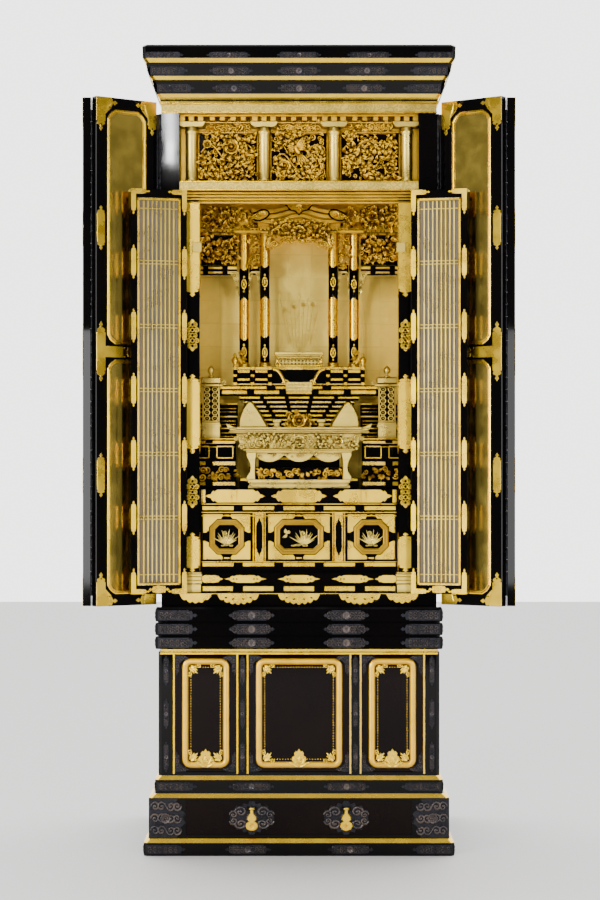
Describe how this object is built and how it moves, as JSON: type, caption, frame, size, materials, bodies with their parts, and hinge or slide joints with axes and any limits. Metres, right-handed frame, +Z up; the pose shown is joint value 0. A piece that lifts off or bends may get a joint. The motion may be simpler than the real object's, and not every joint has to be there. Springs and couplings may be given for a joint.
{
  "type": "gilded buddhist altar cabinet",
  "caption": "Black-lacquered and gilded altar cabinet with folding outer doors, folding lattice doors, a carved palace altar inside and a drawer in the base.",
  "frame": {"origin": "on the plinth's underside, in the middle plane of the cabinet, 300 mm behind the plinth's front edge", "axes": "+Z up, the doors open towards -Y, +X to the right seen from the front"},
  "size_m": [0.939, 0.567, 1.748],
  "materials": {
    "black_lacquer": "polished black lacquer",
    "brown_lacquer": "polished dark brown lacquer",
    "gold_leaf": "pale gold leaf, satin",
    "deep_gold": "deep gold leaf on carving, satin",
    "gilt_metal": "gilded metal",
    "dark_metal": "blackened relief metal with copper edges",
    "plain_wood": "plain planed wood",
    "gauze": "fine gauze behind the lattice"
  },
  "bodies": {
    "root": {"plinth": "black_lacquer", "drawer_case": "black_lacquer", "step_board": "black_lacquer", "cupboard_carcass": "black_lacquer", "cupboard_frame": "black_lacquer", "cupboard_panel_left": "brown_lacquer", "cupboard_panel_centre": "brown_lacquer", "cupboard_panel_right": "brown_lacquer", "base_cornice": "black_lacquer", "case_floor": "black_lacquer", "front_post_left": "black_lacquer", "front_post_right": "black_lacquer", "side_wall_left": "black_lacquer", "side_wall_right": "black_lacquer", "back_wall": "black_lacquer", "ceiling_board": "gold_leaf", "roof_tier_low": "black_lacquer", "roof_tier_middle": "black_lacquer", "roof_tier_top": "black_lacquer", "ranma_column_1": "gold_leaf", "ranma_column_2": "gold_leaf", "ranma_column_3": "gold_leaf", "ranma_column_4": "gold_leaf", "ranma_panel_left": "deep_gold", "ranma_panel_centre": "deep_gold", "ranma_panel_right": "deep_gold", "ranma_bracket_row": "deep_gold", "transom_beam": "gold_leaf", "head_moulding": "deep_gold", "inner_post_left": "black_lacquer", "inner_post_right": "black_lacquer", "gold_back_panel": "gold_leaf", "altar_shelf_board": "black_lacquer", "altar_front_frame": "black_lacquer", "altar_panel_left": "gold_leaf", "altar_panel_centre": "gold_leaf", "altar_panel_right": "gold_leaf", "altar_dais": "black_lacquer", "palace_column_1": "black_lacquer", "palace_column_2": "black_lacquer", "palace_column_3": "black_lacquer", "palace_column_4": "black_lacquer", "palace_canopy": "gold_leaf", "small_stand": "gold_leaf", "front_table": "gold_leaf", "side_shelf_left": "black_lacquer", "side_shelf_right": "black_lacquer"},
    "drawer": {"drawer_front": "brown_lacquer", "drawer_tray": "plain_wood"},
    "pull_left": {"drawer_pull_left": "gilt_metal"},
    "pull_right": {"drawer_pull_right": "gilt_metal"},
    "outer_left_a": {"outer_door_left_a": "black_lacquer"},
    "outer_left_b": {"outer_door_left_b": "black_lacquer"},
    "outer_right_a": {"outer_door_right_a": "black_lacquer"},
    "outer_right_b": {"outer_door_right_b": "black_lacquer"},
    "inner_left_a": {"inner_door_left_a": "black_lacquer"},
    "inner_left_b": {"inner_door_left_b": "black_lacquer"},
    "inner_right_a": {"inner_door_right_a": "black_lacquer"},
    "inner_right_b": {"inner_door_right_b": "black_lacquer"}
  },
  "joints": [
    {"name": "drawer_slide", "type": "slide", "parent": "root", "child": "drawer", "axis": [0, -1, 0], "range_m": [0, 0.3]},
    {"name": "pull_left_hinge", "type": "hinge", "parent": "drawer", "child": "pull_left", "pos_m": [-0.102, -0.2956, 0.101], "axis": [-1, 0, 0], "range_deg": [0, 80]},
    {"name": "pull_right_hinge", "type": "hinge", "parent": "drawer", "child": "pull_right", "pos_m": [0.102, -0.2956, 0.101], "axis": [-1, 0, 0], "range_deg": [0, 80]},
    {"name": "outer_left_hinge", "type": "hinge", "parent": "root", "child": "outer_left_a", "pos_m": [-0.3035, -0.225, 0], "axis": [0, 0, 1], "range_deg": [0, 146]},
    {"name": "outer_left_fold", "type": "hinge", "parent": "outer_left_a", "child": "outer_left_b", "pos_m": [-0.44846, -0.28297, 0], "axis": [0, 0, 1], "range_deg": [0, 124]},
    {"name": "inner_left_hinge", "type": "hinge", "parent": "root", "child": "inner_left_a", "pos_m": [-0.2505, -0.2345, 0], "axis": [0, 0, 1], "range_deg": [0, 164]},
    {"name": "inner_left_fold", "type": "hinge", "parent": "inner_left_a", "child": "inner_left_b", "pos_m": [-0.36602, -0.28604, 0], "axis": [0, 0, -1], "range_deg": [0, 178]},
    {"name": "outer_right_hinge", "type": "hinge", "parent": "root", "child": "outer_right_a", "pos_m": [0.3035, -0.225, 0], "axis": [0, 0, -1], "range_deg": [0, 146]},
    {"name": "outer_right_fold", "type": "hinge", "parent": "outer_right_a", "child": "outer_right_b", "pos_m": [0.44846, -0.28297, 0], "axis": [0, 0, -1], "range_deg": [0, 124]},
    {"name": "inner_right_hinge", "type": "hinge", "parent": "root", "child": "inner_right_a", "pos_m": [0.2505, -0.2345, 0], "axis": [0, 0, -1], "range_deg": [0, 164]},
    {"name": "inner_right_fold", "type": "hinge", "parent": "inner_right_a", "child": "inner_right_b", "pos_m": [0.36602, -0.28604, 0], "axis": [0, 0, 1], "range_deg": [0, 178]}
  ],
  "couplings": [
    {"joint": "outer_left_fold", "follows": "outer_left_hinge", "ratio": 0.8493},
    {"joint": "inner_left_hinge", "follows": "outer_left_hinge", "ratio": 1.1232},
    {"joint": "inner_left_fold", "follows": "outer_left_hinge", "ratio": 1.2191},
    {"joint": "outer_right_fold", "follows": "outer_right_hinge", "ratio": 0.8493},
    {"joint": "inner_right_hinge", "follows": "outer_right_hinge", "ratio": 1.1232},
    {"joint": "inner_right_fold", "follows": "outer_right_hinge", "ratio": 1.2191}
  ]
}
